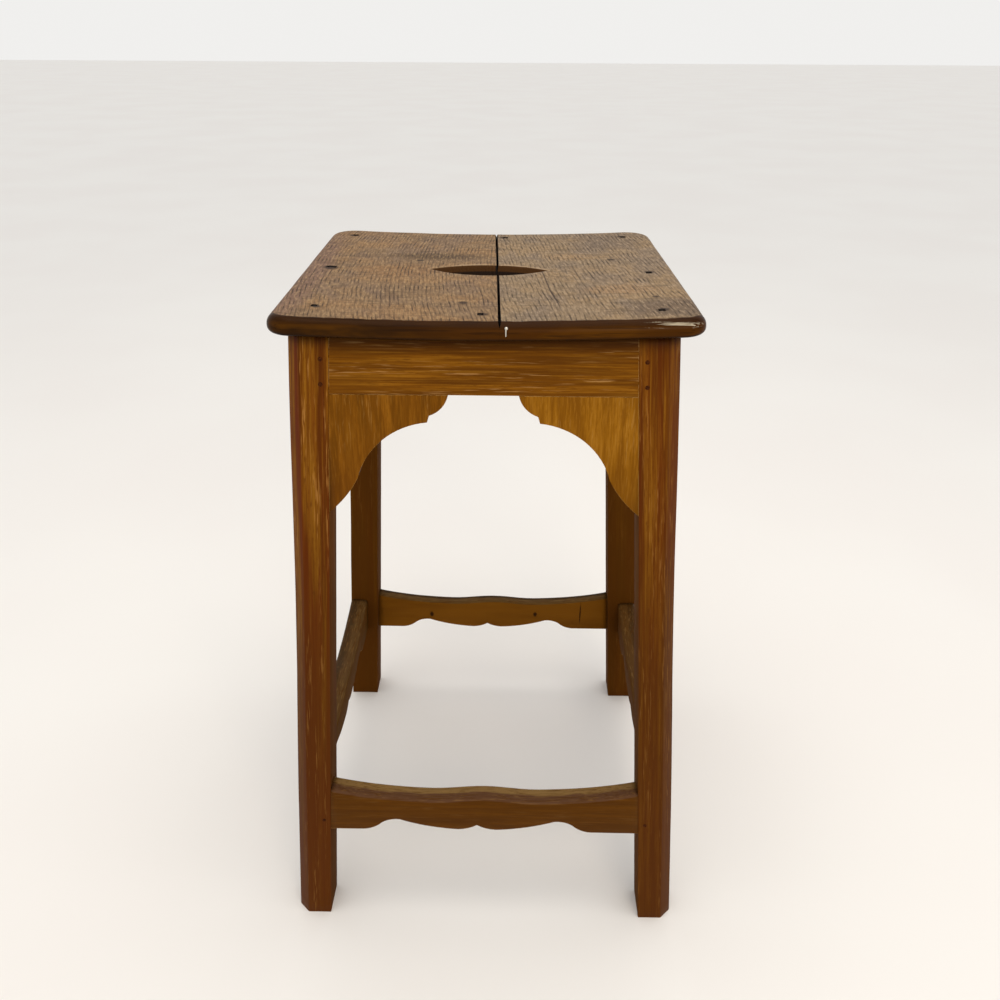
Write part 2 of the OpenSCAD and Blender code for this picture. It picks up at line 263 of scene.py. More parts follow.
def varnished_oak(
    name, tones, along, start, wax, wax_most, turn=(0, 0, 0), figure_size=(7 * MM, 160 * MM),
    red_most=0.0, shade=None, low_shade=(640 * MM, 290 * MM), worn_top_and_sheen=None, marks=(),
):
    """Old oak under brown varnish, hand planed and wiped: the varnish is satin and uneven, open pores
    hold pale wax, and the rounded arrises are lighter, partly rubbed wood and partly a painted
    highlight. tones are dark, middle, light, painted shade low down, and the tone painted on the inner
    faces for their light and shade; along is the grain's axis and turn leans it; start moves the
    figure, so that no two boards are alike. shade gives the heights between which a painted shadow of
    the seat darkens the colour towards the top; the pair after it gives those between which painted
    shade darkens it towards the floor."""
    material, tree = new_material(name)
    coords = add(tree, "ShaderNodeTexCoord", out=3)
    place = add(tree, "ShaderNodeMapping", {"Vector": coords, "Location": start, "Rotation": turn})
    up = add(tree, "ShaderNodeSeparateXYZ", {0: coords}, out=2)

    # Growth rings run as long streaks down the grain.
    figure = drawn_out(tree, place, along, *figure_size, 4.0, 0.55)
    # Fibres are really 0.05 mm wide; they are drawn 1.4 mm wide so that they show.
    fibre = drawn_out(tree, place, along, 1.4 * MM, 70 * MM, 3.0, 0.6)
    # The varnish lies unevenly, in patches as wide as a brush.
    patch = drawn_out(tree, place, along, 30 * MM, 130 * MM, 2.0)
    colour = coat(tree, tones[0], tones[1], figure, 0.38, 0.62)
    colour = coat(tree, colour, tones[2], figure, 0.52, 0.72, 0.8)
    colour = coat(tree, colour, tones[2], fibre, 0.48, 0.68, 0.5)
    colour = coat(tree, colour, tones[0], fibre, 0.50, 0.32, 0.5)
    colour = coat(tree, colour, tones[0], patch, 0.48, 0.66, 0.45)
    if red_most:
        # Some streaks have taken a redder stain, more of them low down.
        redder = drawn_out(tree, place, along, 11 * MM, 330 * MM, 2.0)
        lower = add(tree, "ShaderNodeMath", {0: up, 1: -0.38, 2: redder}, operation="MULTIPLY_ADD")
        colour = coat(tree, colour, "#602304", lower, 0.28, 0.42, red_most)

    # Wax in the pores: dashes 1.3 mm wide and 26 mm long, in long narrow bands. Real pores are 0.3 mm
    # wide; they are drawn wider so that they show.
    pore = drawn_out(tree, place, along, 1.3 * MM, 26 * MM, 2.0, 0.5)
    band = drawn_out(tree, place, along, 8 * MM, 190 * MM, 1.0)
    band_share = add(
        tree, "ShaderNodeMapRange",
        {"Value": band, "From Min": 0.46, "From Max": 0.62, "To Max": wax_most},
    )
    colour = coat(tree, colour, wax, pore, 0.54, 0.68, 1.0, band_share)
    dark_pore = drawn_out(tree, place, along, 1.1 * MM, 12 * MM, 2.0)
    colour = coat(tree, colour, tones[0], dark_pore, 0.54, 0.68, 0.55)

    if shade:
        # Painted shadow of the seat: the colour darkens towards the top.
        colour = coat(tree, colour, "#240b02", up, shade[0], shade[1], 0.9)
    # Painted shade: the colour darkens towards the floor.
    colour = coat(tree, colour, tones[3], up, low_shade[0], low_shade[1], 0.65)
    # Inner faces take a tone painted in for their light and shade, in patches.
    inside = add(tree, "ShaderNodeAttribute", out=2, attribute_name="inside")
    colour = coat(tree, colour, tones[4], patch, 0.0, 0.6, 0.75, inside)
    if worn_top_and_sheen:
        # Feet have rubbed the varnish off the top: the wood is bare towards the inside, and towards the
        # outside it carries a greyish painted sheen, with a ragged line between.
        normal = add(tree, "ShaderNodeNewGeometry", out=1)
        facing = add(tree, "ShaderNodeSeparateXYZ", {0: normal}, out=2)
        ragged = drawn_out(tree, place, along, 5 * MM, 40 * MM, 4.0)
        rim = add(tree, "ShaderNodeMath", {0: ragged, 1: 0.35, 2: facing}, operation="MULTIPLY_ADD")
        depth = add(tree, "ShaderNodeAttribute", out=2, attribute_name="depth")
        half = add(tree, "ShaderNodeMath", {0: ragged, 1: 0.5, 2: depth}, operation="MULTIPLY_ADD")
        worn = coat(tree, worn_top_and_sheen[0], worn_top_and_sheen[1], half, 0.62, 0.80)
        worn = coat(tree, worn, tones[0], fibre, 0.52, 0.34, 0.7)
        worn = coat(tree, worn, wax, pore, 0.54, 0.68, 0.25)
        colour = coat(tree, colour, worn, rim, 0.45, 0.75, 0.92)

    for middle, size in marks:
        colour = stained(tree, colour, "#1b0c03", coords, middle, size, fibre, 0.9)

    # The rounded arrises are lighter: partly rubbed wood, partly a painted highlight.
    arris = add(tree, "ShaderNodeAttribute", out=2, attribute_name="arris")
    rub_and_glint = drawn_out(tree, place, along, 5 * MM, 45 * MM, 3.0)
    colour = coat(tree, colour, wax, rub_and_glint, 0.38, 0.56, 0.75, arris)

    rough = add(
        tree, "ShaderNodeMapRange",
        {"Value": fibre, "From Min": 0.35, "From Max": 0.70, "To Min": 0.38, "To Max": 0.52},
    )
    rough = add(tree, "ShaderNodeMath", {0: inside, 1: 0.4, 2: rough}, operation="MULTIPLY_ADD")
    bump = add(tree, "ShaderNodeBump", {"Height": fibre, "Strength": 0.35, "Distance": 0.25 * MM})
    shader = add(
        tree, "ShaderNodeBsdfPrincipled",
        {"Base Color": colour, "Roughness": rough, "Normal": bump, "IOR": 1.12},
    )
    add(tree, "ShaderNodeOutputMaterial", {"Surface": shader})
    return material


def scrubbed_oak(name, tones, lean, bow, tick_gap, start, patches, marks, split=None):
    """A seat board: oak scrubbed bare and greyed on top, with saw marks packed with dirt in short
    dark ticks that run front to back. The old dark varnish is left on its edge, with painted light and
    shade on it. lean and bow are how the ticks slant and curve, and tick_gap is how far apart they are;
    patches are stains, bare places and painted sheen; marks are dents; split is a crack's place across
    the ticks, and where it starts and ends."""
    material, tree = new_material(name)
    coords = add(tree, "ShaderNodeTexCoord", out=3)
    place = add(tree, "ShaderNodeMapping", {"Vector": coords, "Rotation": (0, 0, -SEAT_TURN)})
    x = add(tree, "ShaderNodeSeparateXYZ", {0: place}, out=0)
    y = add(tree, "ShaderNodeSeparateXYZ", {0: place}, out=1)
    z = add(tree, "ShaderNodeSeparateXYZ", {0: place}, out=2)

    # The saw left its marks across lines that lean and bow: u is the distance across them.
    from_bow = add(tree, "ShaderNodeMath", {0: y, 1: 60 * MM}, operation="SUBTRACT")
    squared = add(tree, "ShaderNodeMath", {0: from_bow, 1: from_bow}, operation="MULTIPLY")
    bowed = add(tree, "ShaderNodeMath", {0: squared, 1: -bow, 2: x}, operation="MULTIPLY_ADD")
    u = add(tree, "ShaderNodeMath", {0: y, 1: lean, 2: bowed}, operation="MULTIPLY_ADD")
    sawn = add(tree, "ShaderNodeCombineXYZ", {0: u, 1: y, 2: z})
    sawn = add(tree, "ShaderNodeMapping", {"Vector": sawn, "Location": start})

    # Bare wood, warmer and greyer in patches, with its grain from side to side, finely hatched.
    warm = drawn_out(tree, sawn, "X", 34 * MM, 90 * MM, 3.0)
    grey = drawn_out(tree, sawn, "Y", 30 * MM, 60 * MM, 3.0)
    hatch = drawn_out(tree, sawn, "Y", 2.0 * MM, 11 * MM, 3.0, 0.6)
    cross = drawn_out(tree, sawn, "X", 4.0 * MM, 60 * MM, 3.0, 0.6)
    speck = drawn_out(tree, sawn, "Y", 2.2 * MM, 5.0 * MM, 3.0, 0.7)
    top = coat(tree, tones[0], tones[1], warm, 0.40, 0.62)
    top = coat(tree, top, tones[2], grey, 0.44, 0.66, 0.7)
    for centre, size, tone, most in patches:
        top = stained(tree, top, tone, place, centre, size, speck, most)
    top = coat(tree, top, tones[3], hatch, 0.50, 0.66, 0.55)
    top = coat(tree, top, tones[4], hatch, 0.50, 0.36, 0.55)
    top = coat(tree, top, tones[4], speck, 0.52, 0.68, 0.50)
    top = coat(tree, top, tones[4], cross, 0.54, 0.68, 0.60)

    # Ticks: really 0.3 mm wide, they are drawn 1.3 mm wide so that they show.
    sway = drawn_out(tree, sawn, "Y", 24 * MM, 60 * MM, 1.0)
    phase = add(tree, "ShaderNodeMath", {0: u, 1: 2 * math.pi / tick_gap}, operation="MULTIPLY")
    phase = add(tree, "ShaderNodeMath", {0: sway, 1: 9.0, 2: phase}, operation="MULTIPLY_ADD")
    wave = add(tree, "ShaderNodeMath", {0: phase}, operation="SINE")
    broken = drawn_out(tree, sawn, "Y", 4.2 * MM, 22 * MM, 2.0, 0.6)
    broken_share = add(
        tree, "ShaderNodeMapRange",
        {"Value": broken, "From Min": 0.42, "From Max": 0.58, "To Min": 0.12},
    )
    crowd = drawn_out(tree, sawn, "X", 26 * MM, 60 * MM, 2.0)
    crowd_share = add(
        tree, "ShaderNodeMapRange",
        {"Value": crowd, "From Min": 0.38, "From Max": 0.58, "To Min": 0.45},
    )
    where = add(tree, "ShaderNodeMath", {0: broken_share, 1: crowd_share}, operation="MULTIPLY")
    top = coat(tree, top, tones[5], wave, 0.15, 0.95, 0.85, where)
    tick = add(tree, "ShaderNodeMath", {0: wave, 1: where}, operation="MULTIPLY")
    for middle, wide in marks:
        top = stained(tree, top, "#2a190c", place, middle, (wide, wide, 1), speck, 0.85)
    if split:
        # A drying crack that follows the saw marks.
        across, front_end, back_end = split
        off = add(tree, "ShaderNodeMath", {0: u, 1: across}, operation="SUBTRACT")
        wander = add(tree, "ShaderNodeMath", {0: sway, 1: 4 * MM, 2: off}, operation="MULTIPLY_ADD")
        wander = add(tree, "ShaderNodeMath", {0: wander, 1: 2 * MM}, operation="SUBTRACT")
        beside = add(tree, "ShaderNodeMath", {0: wander}, operation="ABSOLUTE")
        starts = add(
            tree, "ShaderNodeMapRange",
            {"Value": y, "From Min": front_end, "From Max": front_end + 25 * MM},
        )
        ends = add(
            tree, "ShaderNodeMapRange",
            {"Value": y, "From Min": back_end, "From Max": back_end - 3 * MM},
        )
        reach = add(tree, "ShaderNodeMath", {0: starts, 1: ends}, operation="MULTIPLY")
        top = coat(tree, top, "#2e1d10", beside, 0.75 * MM, 0.3 * MM, 0.9, reach)

    # The arrises of the slot and the joint are pale: rubbed by hands, and a painted highlight.
    arris = add(tree, "ShaderNodeAttribute", out=2, attribute_name="arris")
    top = coat(tree, top, "#a68e72", grey, 0.25, 0.6, 0.75, arris)

    # The old varnish on the edge is darker towards the left and in streaks. In bands that follow the
    # seat's dish it is darker over the bull nose, lighter along the middle, and underneath it is
    # painted black as shadow.
    squared_x = add(tree, "ShaderNodeMath", {0: x, 1: x}, operation="MULTIPLY")
    sag = -SEAT_DISH / SEAT_HALF ** 2
    level = add(tree, "ShaderNodeMath", {0: squared_x, 1: sag, 2: z}, operation="MULTIPLY_ADD")
    bed = FRAME_TOP - SEAT_DISH
    streak = drawn_out(tree, place, "X", 22 * MM, 70 * MM, 3.0)
    thin = drawn_out(tree, place, "X", 2.2 * MM, 60 * MM, 3.0)
    edge = coat(tree, "#2b1806", "#432403", x, -120 * MM, 20 * MM)
    edge = coat(tree, edge, "#593403", streak, 0.42, 0.60, 0.5)
    edge = coat(tree, edge, "#2a1606", level, bed + 10 * MM, bed + 14 * MM, 0.75)
    # Painted shadow along the bottom of the edge.
    edge = coat(tree, edge, "#1c0d03", level, bed + 4.5 * MM, bed + 1.5 * MM, 0.8)
    edge = coat(tree, edge, "#231205", thin, 0.52, 0.68, 0.6)
    # A painted highlight on its front right corner, broken into thin streaks.
    corner = (160 * MM, -189 * MM, 701 * MM)
    corner_highlight = stained(tree, edge, "#b3a78f", place, corner, (24 * MM, 14 * MM, 2.2 * MM), speck, 0.9)
    edge = coat(tree, edge, corner_highlight, thin, 0.48, 0.58)
    # Inside the slot the varnish is honey-brown above, and below it is painted dark as shade.
    wall = coat(tree, "#170b03", "#4a2c08", level, bed + 9.0 * MM, bed + 10.5 * MM)
    slot_middle = (0, SLOT_BACK, FRAME_TOP)
    edge = stained(tree, edge, wall, place, slot_middle, (45 * MM, 20 * MM, 60 * MM), 0.0)

    # The bare top stops short of the rim, in a ragged line.
    rim = add(tree, "ShaderNodeAttribute", out=2, attribute_name="rim")
    ragged = drawn_out(tree, place, "X", 5 * MM, 16 * MM, 4.0)
    line = add(tree, "ShaderNodeMath", {0: ragged, 1: 5 * MM, 2: rim}, operation="MULTIPLY_ADD")
    scrubbed = add(
        tree, "ShaderNodeMapRange", {"Value": line, "From Min": 10.8 * MM, "From Max": 12.6 * MM},
    )
    normal = add(tree, "ShaderNodeNewGeometry", out=1)
    facing = add(tree, "ShaderNodeSeparateXYZ", {0: normal}, out=2)
    colour = coat(tree, edge, top, facing, 0.55, 0.72, 1.0, scrubbed)
    # The pits and the joint's walls are darkened: dirt, and painted shade in these recesses.
    dirt = add(tree, "ShaderNodeAttribute", out=2, attribute_name="dirt")
    colour = coat(tree, colour, "#140a05", dirt, 0.3, 0.7)

    rough = add(tree, "ShaderNodeMapRange", {"Value": scrubbed, "To Min": 0.24, "To Max": 0.7})
    glow = add(tree, "ShaderNodeMapRange", {"Value": scrubbed, "To Min": 1.11, "To Max": 1.28})
    height = add(tree, "ShaderNodeMath", {0: tick, 1: -1.2, 2: hatch}, operation="MULTIPLY_ADD")
    height = add(tree, "ShaderNodeMath", {0: height, 1: scrubbed}, operation="MULTIPLY")
    bump = add(tree, "ShaderNodeBump", {"Height": height, "Strength": 0.5, "Distance": 0.4 * MM})
    shader = add(
        tree, "ShaderNodeBsdfPrincipled",
        {"Base Color": colour, "Roughness": rough, "Normal": bump, "IOR": glow},
    )
    add(tree, "ShaderNodeOutputMaterial", {"Surface": shader})
    return material


def oiled_end_grain():
    """End grain of riven oak pegs, dark because it drinks oil and dirt."""
    material, tree = new_material("oiled_end_grain")
    coords = add(tree, "ShaderNodeTexCoord", out=3)
    rays = add(tree, "ShaderNodeTexNoise", {"Vector": coords, "Scale": 900.0, "Detail": 3.0})
    colour = coat(tree, "#2a1004", "#4e260b", rays, 0.35, 0.65)
    shader = add(
        tree, "ShaderNodeBsdfPrincipled", {"Base Color": colour, "Roughness": 0.7, "IOR": 1.12},
    )
    add(tree, "ShaderNodeOutputMaterial", {"Surface": shader})
    return material


def rusted_iron():
    """Wrought iron nails, brown-black with rust, dull."""
    material, tree = new_material("rusted_iron")
    coords = add(tree, "ShaderNodeTexCoord", out=3)
    crust = add(tree, "ShaderNodeTexNoise", {"Vector": coords, "Scale": 700.0, "Detail": 4.0})
    colour = coat(tree, "#0e0906", "#20150d", crust, 0.40, 0.65)
    bump = add(tree, "ShaderNodeBump", {"Height": crust, "Strength": 0.5, "Distance": 0.3 * MM})
    shader = add(
        tree, "ShaderNodeBsdfPrincipled",
        {"Base Color": colour, "Metallic": 0.3, "Roughness": 0.85, "Normal": bump},
    )
    add(tree, "ShaderNodeOutputMaterial", {"Surface": shader})
    return material


def rubbed_steel():
    """A steel brad rubbed bright, with fine scratches."""
    material, tree = new_material("rubbed_steel")
    coords = add(tree, "ShaderNodeTexCoord", out=3)
    scratch = add(tree, "ShaderNodeTexNoise", {"Vector": coords, "Scale": 2500.0, "Detail": 2.0})
    rough = add(tree, "ShaderNodeMapRange", {"Value": scratch, "To Min": 0.16, "To Max": 0.48})
    shader = add(
        tree, "ShaderNodeBsdfPrincipled",
        {"Base Color": "#d4cfc4", "Metallic": 1.0, "Roughness": rough},
    )
    add(tree, "ShaderNodeOutputMaterial", {"Surface": shader})
    return material


def matt_paper():
    """Seamless studio paper, matt and a little uneven in tone."""
    material, tree = new_material("matt_paper")
    coords = add(tree, "ShaderNodeTexCoord", out=3)
    uneven = add(tree, "ShaderNodeTexNoise", {"Vector": coords, "Scale": 1.5, "Detail": 2.0})
    colour = coat(tree, "#f0edea", "#f2f0ed", uneven, 0.3, 0.7)
    shader = add(tree, "ShaderNodeBsdfPrincipled", {"Base Color": colour, "Roughness": 0.85})
    add(tree, "ShaderNodeOutputMaterial", {"Surface": shader})
    return material


# ---------------------------------------------------------------- seat

SLOT_REACH = (63 * MM, 27 * MM)
SLOT_BACK = 2 * MM
JOINT_X = 9 * MM
FRONT_CORNER = 20 * MM
BACK_CORNER = 32 * MM
JOINT_GAP = 2.2 * MM
# Heights in the seat's thickness: the joint is open down to the first and shut below the second.
JOINT_OPEN = 16 * MM
JOINT_SHUT = 12.5 * MM
seat_centre = Vector((0, 2 * MM, 0))

# Radius and steps of the rounding on each arris of a seat board: on top, and underneath.
ROUNDING = {
    "outer": ((10.5 * MM, 8), (5.2 * MM, 5)),
    "slot": ((2.4 * MM, 3), (1.2 * MM, 2)),
    "joint": ((1.0 * MM, 2), (0.4 * MM, 1)),
}


def seat_place(co):
    """A point's place in the seat's own frame, which is turned a little on the stool's."""
    return Matrix.Rotation(-SEAT_TURN, 3, "Z") @ (Vector((co.x, co.y, 0)) - seat_centre)


def joint_side(co):
    """How far right of the joint's middle a point lies; the joint is turned on the seat."""
    return (Matrix.Rotation(-JOINT_TURN, 3, "Z") @ seat_place(co)).x - JOINT_X


# On the sides and the back, hands and knees have scrubbed this much nearer the edge.
SIDE_SCRUB = 6 * MM


def rim_distance(co):
    """How far a point lies in from the seat's rim, with the side scrub added."""
    here = seat_place(co)
    corner = FRONT_CORNER if here.y < 0 else BACK_CORNER
    out_x = abs(here.x) - (SEAT_HALF - corner)
    out_y = abs(here.y) - (SEAT_DEEP_HALF - corner)
    inside = corner - math.hypot(max(out_x, 0), max(out_y, 0)) - min(max(out_x, out_y), 0)
    back_from_front = (here.y + SEAT_DEEP_HALF - 12 * MM) / (10 * MM)
    return inside + SIDE_SCRUB * max(0, min(1, back_from_front))


def edge_kind(edge):
    """Which arris of a seat board an edge belongs to: slot, joint or outer."""
    middle = seat_place((edge.verts[0].co + edge.verts[1].co) / 2)
    if abs(middle.x) < SLOT_REACH[0] and abs(middle.y - SLOT_BACK) < SLOT_REACH[1]:
        return "slot"
    if abs(joint_side(edge.verts[0].co)) < 2 * MM and abs(joint_side(edge.verts[1].co)) < 2 * MM:
        return "joint"
    return "outer"


def plan_outline(node):
    """A seat board's plan, laid flat at the height zero, as one face in a new bmesh."""
    bm = bmesh.new()
    bm.from_mesh(nodes[node].data)
    bmesh.ops.remove_doubles(bm, verts=bm.verts, dist=WELD)
    bm.normal_update()
    bmesh.ops.delete(bm, geom=[f for f in bm.faces if f.normal.z > -0.9], context="FACES")
    loops = []
    left = [e for e in bm.edges if e.is_boundary]
    while left:
        edge = left.pop()
        start, here = edge.verts
        loop = [start, here]
        while here is not start:
            edge = next(e for e in here.link_edges if e in left)
            left.remove(edge)
            here = edge.other_vert(here)
            loop.append(here)
        loops.append([v.co.copy() for v in loop[:-1]])
    bm.free()
    longest = max(loops, key=lambda points: sum((a - b).length for a, b in zip(points, points[1:])))
    flat = bmesh.new()
    flat.faces.new([flat.verts.new((p.x, p.y, 0)) for p in longest])
    flat.normal_update()
    if flat.faces[:][0].normal.z < 0:
        bmesh.ops.reverse_faces(flat, faces=flat.faces)
    bmesh.ops.dissolve_limit(
        flat, angle_limit=math.radians(0.3), verts=flat.verts, edges=flat.edges,
    )
    return flat


def islands(bm):
    """The separate solids in a bmesh, each as a list of its vertices' places."""
    found = []
    left = set(bm.verts)
    while left:
        queue = [left.pop()]
        solid = []
        while queue:
            v = queue.pop()
            solid.append(v.co.copy())
            for e in v.link_edges:
                other = e.other_vert(v)
                if other in left:
                    left.discard(other)
                    queue.append(other)
        found.append(solid)
    return found


def nail_places():
    """The middle of each head of the CAD's seat nails, from back left to front right."""
    bm = bmesh.new()
    bm.from_mesh(nodes["seat_nails"].data)
    bmesh.ops.remove_doubles(bm, verts=bm.verts, dist=WELD)
    places = []
    for solid in islands(bm):
        top = max(c.z for c in solid)
        head = [c for c in solid if c.z > top - 0.1 * MM]
        places.append(sum(head, Vector()) / len(head))
    bm.free()
    return sorted(places, key=lambda p: (-round(p.y, 2), p.x))


PIT_DEEP = 1.7 * MM
# How much a pit narrows towards its floor.
PIT_TAPER = 0.22
draw = random.Random(11)
nails = nail_places()
# Each nail's place, and half the width and half the depth of its pit.
pits = [(p, draw.uniform(2.6, 3.3) * MM, draw.uniform(3.2, 4.0) * MM) for p in nails]
# The middle nail on the left has torn its pit wide.
TORN_PIT = 5.2 * MM
pits = [
    (p, TORN_PIT if p.x < -100 * MM and abs(p.y) < 40 * MM else w, h)
    for p, w, h in pits
]


def sink_pits(bm, low, high):
    """Punches a shallow square pit round each nail of a board."""
    bm.normal_update()
    own = [pit for pit in pits if low.x < pit[0].x < high.x]
    for p, w, h in own:
        for s in (-1, 1):
            cut_at(bm, X_AXIS, p.x + s * w)
            cut_at(bm, Y_AXIS, p.y + s * h)
    for p, w, h in own:
        cell = [
            f for f in bm.faces
            if f.normal.z > 0.9 and abs(f.calc_center_median().x - p.x) < w
            and abs(f.calc_center_median().y - p.y) < h
        ]
        made = bmesh.ops.extrude_face_region(bm, geom=cell)
        floor_verts = [g for g in made["geom"] if isinstance(g, bmesh.types.BMVert)]
        middle = Vector((p.x, p.y, 0))
        for v in floor_verts:
            inward = (middle - Vector((v.co.x, v.co.y, 0))) * PIT_TAPER
            v.co += inward + Vector((0, 0, -PIT_DEEP))
        bmesh.ops.delete(bm, geom=[f for f in cell if f.is_valid], context="FACES")


def close_joint(bm):
    """The boards touch at the bottom of their joint and stand apart at the top."""
    for v in bm.verts:
        off = joint_side(v.co)
        if abs(abs(off) - JOINT_GAP / 2) < 0.7 * MM:
            depth = min(1, max(0, (JOINT_OPEN - v.co.z) / (JOINT_OPEN - JOINT_SHUT)))
            v.co.x -= math.copysign((abs(off) - 0.03 * MM) * depth, off)


def mark_dirt_and_shade(bm):
    """Marks the faces painted dark, for dirt that no brush has reached and as painted shade in these
    recesses: the pits round the nails and the joint's walls.
    """
    bm.normal_update()
    darkened = []
    for f in bm.faces:
        middle = f.calc_center_median()
        in_pit = any(
            abs(middle.x - p.x) < w * 1.02 and abs(middle.y - p.y) < h * 1.02 for p, w, h in pits
        )
        in_joint = abs(joint_side(middle)) < JOINT_GAP / 2 + 0.5 * MM and abs(f.normal.z) < 0.5
        if (in_pit and middle.z < SEAT_THICK - 0.5 * MM) or in_joint:
            darkened.append(f)
    mark(bm, "dirt", darkened)


def seat_board(node, material, seed):
    """Half of the seat: made flat, rounded and worn, and then bent to the dish of its frame."""
    bm = plan_outline(node)
    thicken(bm, -Z_AXIS, SEAT_THICK)
    rubbed = []
    for kind, (above, below) in ROUNDING.items():
        for height, (width, steps) in ((SEAT_THICK, above), (0.0, below)):
            edges = [
                e for e in bm.edges
                if all(abs(v.co.z - height) < WELD for v in e.verts)
                and e.calc_face_angle(0) > math.radians(40) and edge_kind(e) == kind
            ]
            made = round_over(bm, edges, width, steps)
            if kind != "outer" and height > 0:
                rubbed += made
    mark(bm, "arris", rubbed)
    low = Vector(map(min, *[v.co for v in bm.verts]))
    high = Vector(map(max, *[v.co for v in bm.verts]))
    cut_at(bm, Z_AXIS, 9 * MM)
    slice_along(bm, X_AXIS, low.x, high.x, 7 * MM)
    slice_along(bm, Y_AXIS, low.y, high.y, 9 * MM)
    sink_pits(bm, low, high)
    wear(bm, *SEAT_WEAR, seed)
    close_joint(bm)
    mark_dirt_and_shade(bm)
    rim = bm.verts.layers.float.new("rim")
    for v in bm.verts:
        v[rim] = rim_distance(v.co)
        v.co.z += FRAME_TOP - seat_sag(v.co.x)
    return make_piece(bm, node, material, 50)


NAIL_HEAD = 1.4 * MM
NAIL_SHANK = 31 * MM


def seat_nail_heads(material):
    """Forged heads, roughly square, sunk in their pits, on tapering shanks."""
    bm = bmesh.new()
    for p, w, h in pits:
        head = bmesh.ops.create_cone(
            bm, cap_ends=True, segments=6, radius1=1.3, radius2=0.8, depth=NAIL_HEAD,
            matrix=Matrix.Diagonal((w * 0.95, h * 0.95, 1, 1))
            @ Matrix.Rotation(draw.uniform(0, 1), 4, "Z"),
        )
        bmesh.ops.translate(bm, verts=head["verts"], vec=p + Vector((0, 0, -1.5 * MM)))
        for v in head["verts"]:
            v.co += Vector([draw.uniform(-1, 1) for _ in range(3)]) * 0.25 * MM
        bmesh.ops.create_cone(
            bm, cap_ends=True, segments=4, radius1=0.7 * MM, radius2=1.6 * MM, depth=NAIL_SHANK,
            matrix=Matrix.Translation(p + Vector((0, 0, -17.5 * MM))),
        )
    return make_piece(bm, "seat_nails", material, 20)


def edge_brad(material):
    """A brad hammered flat against the seat's front edge: a round head and a bent, worn shank."""
    low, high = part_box("edge_brad")
    x = (low.x + high.x) / 2
    top = (low.z + high.z) / 2
    bm = bmesh.new()
    head = bmesh.ops.create_uvsphere(bm, u_segments=16, v_segments=10, radius=1.5 * MM)
    bmesh.ops.scale(bm, vec=(1.0, 0.55, 1.0), verts=head["verts"])
    bmesh.ops.translate(bm, verts=head["verts"], vec=Vector((x, low.y + 1.3 * MM, top + 0.5 * MM)))
    shank = bmesh.ops.create_cone(
        bm, cap_ends=True, segments=12, radius1=0.5 * MM, radius2=0.75 * MM, depth=6.4 * MM,
    )
    bmesh.ops.translate(
        bm, verts=shank["verts"], vec=Vector((x - 0.3 * MM, low.y + 0.5 * MM, top - 3 * MM)),
    )
    bmesh.ops.create_cone(
        bm, cap_ends=True, segments=12, radius1=0.7 * MM, radius2=0.7 * MM,
        depth=high.y - low.y - 1.5 * MM,
        matrix=Matrix.Translation((x, (low.y + high.y) / 2 + 0.75 * MM, top))
        @ Matrix.Rotation(math.radians(90), 4, "X"),
    )
    return make_piece(bm, "edge_brad", material, 40)


# The height of the stains' middles, near the seat's top. They reach a metre up and down, so that the
# dish doesn't leave them.
STAIN_HEIGHT = 700 * MM


def nail_stains(hand):
    """Where iron has blackened the oak round the nails of the left (-1) or right (1) board."""
    return [((p.x, p.y, STAIN_HEIGHT), 1.55 * w) for p, w, h in pits if hand * joint_side(p) > 0]


# Tones of a seat board: two for warm and warmer wood, grey, light fibres, dirt and ticks.
LEFT_TONES = ("#7f6548", "#8a6a46", "#745e4c", "#a48861", "#57412a", "#2f1d0d")
RIGHT_TONES = ("#857056", "#8d7454", "#756556", "#a79074", "#5f4e3a", "#352718")
left_patches = (
    ((-56 * MM, 62 * MM, STAIN_HEIGHT), (50 * MM, 15 * MM, 1), "#4a3620", 0.8),
    ((-94 * MM, -6 * MM, STAIN_HEIGHT), (42 * MM, 22 * MM, 1), "#876139", 0.6),
    # A greyish painted sheen along the left edge.
    ((-184 * MM, -20 * MM, STAIN_HEIGHT), (22 * MM, 190 * MM, 1), "#75594c", 0.8),
)
left_marks = nail_stains(-1) + [
    ((-22 * MM, -124 * MM, STAIN_HEIGHT), 4.0 * MM),
    ((-74 * MM, 42 * MM, STAIN_HEIGHT), 4.0 * MM),
]
right_patches = (
    ((126 * MM, -82 * MM, STAIN_HEIGHT), (34 * MM, 17 * MM, 1), "#937452", 0.7),
    ((88 * MM, 60 * MM, STAIN_HEIGHT), (30 * MM, 16 * MM, 1), "#937653", 0.6),
    # A greyish painted sheen on the front right.
    ((168 * MM, -150 * MM, STAIN_HEIGHT), (46 * MM, 30 * MM, 1), "#57473c", 0.7),
    ((135 * MM, 130 * MM, STAIN_HEIGHT), (34 * MM, 40 * MM, 1), "#65564a", 0.6),
)
right_marks = nail_stains(1) + [
    ((130 * MM, 43 * MM, STAIN_HEIGHT), 4.2 * MM),
    ((155 * MM, -112 * MM, STAIN_HEIGHT), 3.2 * MM),
]
left_oak = scrubbed_oak(
    "scrubbed_oak_left", LEFT_TONES, lean=0.0, bow=0.0003 / MM, tick_gap=3.9 * MM, start=(0.1, 0.2, 0),
    patches=left_patches, marks=left_marks,
)
right_oak = scrubbed_oak(
    "scrubbed_oak_right", RIGHT_TONES, lean=0.085, bow=0.0, tick_gap=4.3 * MM, start=(0.7, 0.5, 0),
    patches=right_patches, marks=right_marks, split=(53 * MM, -150 * MM, -2 * MM),
)
seat_board("seat_board_left", left_oak, 1)
seat_board("seat_board_right", right_oak, 2)
iron = rusted_iron()
seat_nail_heads(iron)
edge_brad(rubbed_steel())

# ---------------------------------------------------------------- legs

